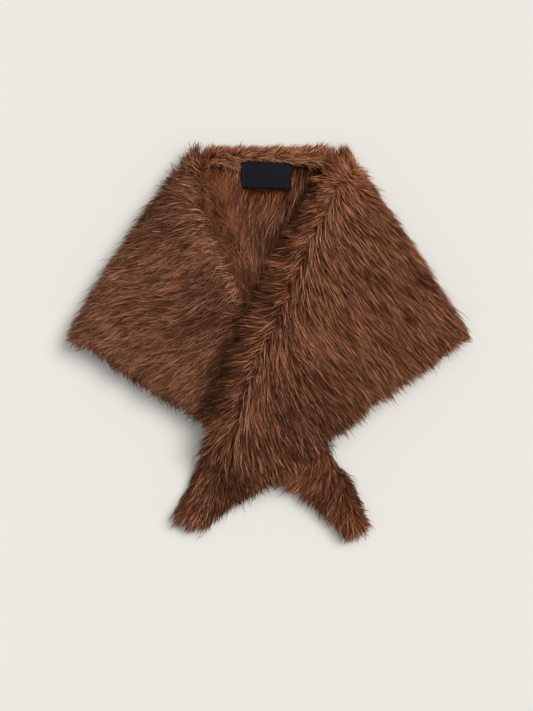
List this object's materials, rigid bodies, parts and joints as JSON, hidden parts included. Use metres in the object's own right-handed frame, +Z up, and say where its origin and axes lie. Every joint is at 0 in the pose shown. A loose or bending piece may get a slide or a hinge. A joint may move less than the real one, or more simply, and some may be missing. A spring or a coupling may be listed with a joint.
{
  "type": "fur collar wrap laid flat",
  "caption": "Triangular fur collar wrap laid flat, folded at the shoulders with its two fronts crossed, an open V at the neck and a bare woven tab.",
  "frame": {"origin": "under the middle of the laid wrap, on the surface it lies on", "axes": "+Y towards the neck, -Y towards the crossed tips, +X to the side of the front that lies on top, +Z up out of the surface"},
  "size_m": [0.4652, 0.4721, 0.0547],
  "materials": {
    "outer_fur": "long-pile fur cloth, soft sheen, russet brown",
    "inner_fur": "long-pile fur cloth, soft sheen, russet brown",
    "woven_tab": "fine black weave, matt"
  },
  "bodies": {
    "root": {"back_shell": "outer_fur", "back_facing": "inner_fur", "left_front": "outer_fur", "right_front": "outer_fur", "label": "woven_tab"}
  },
  "joints": []
}
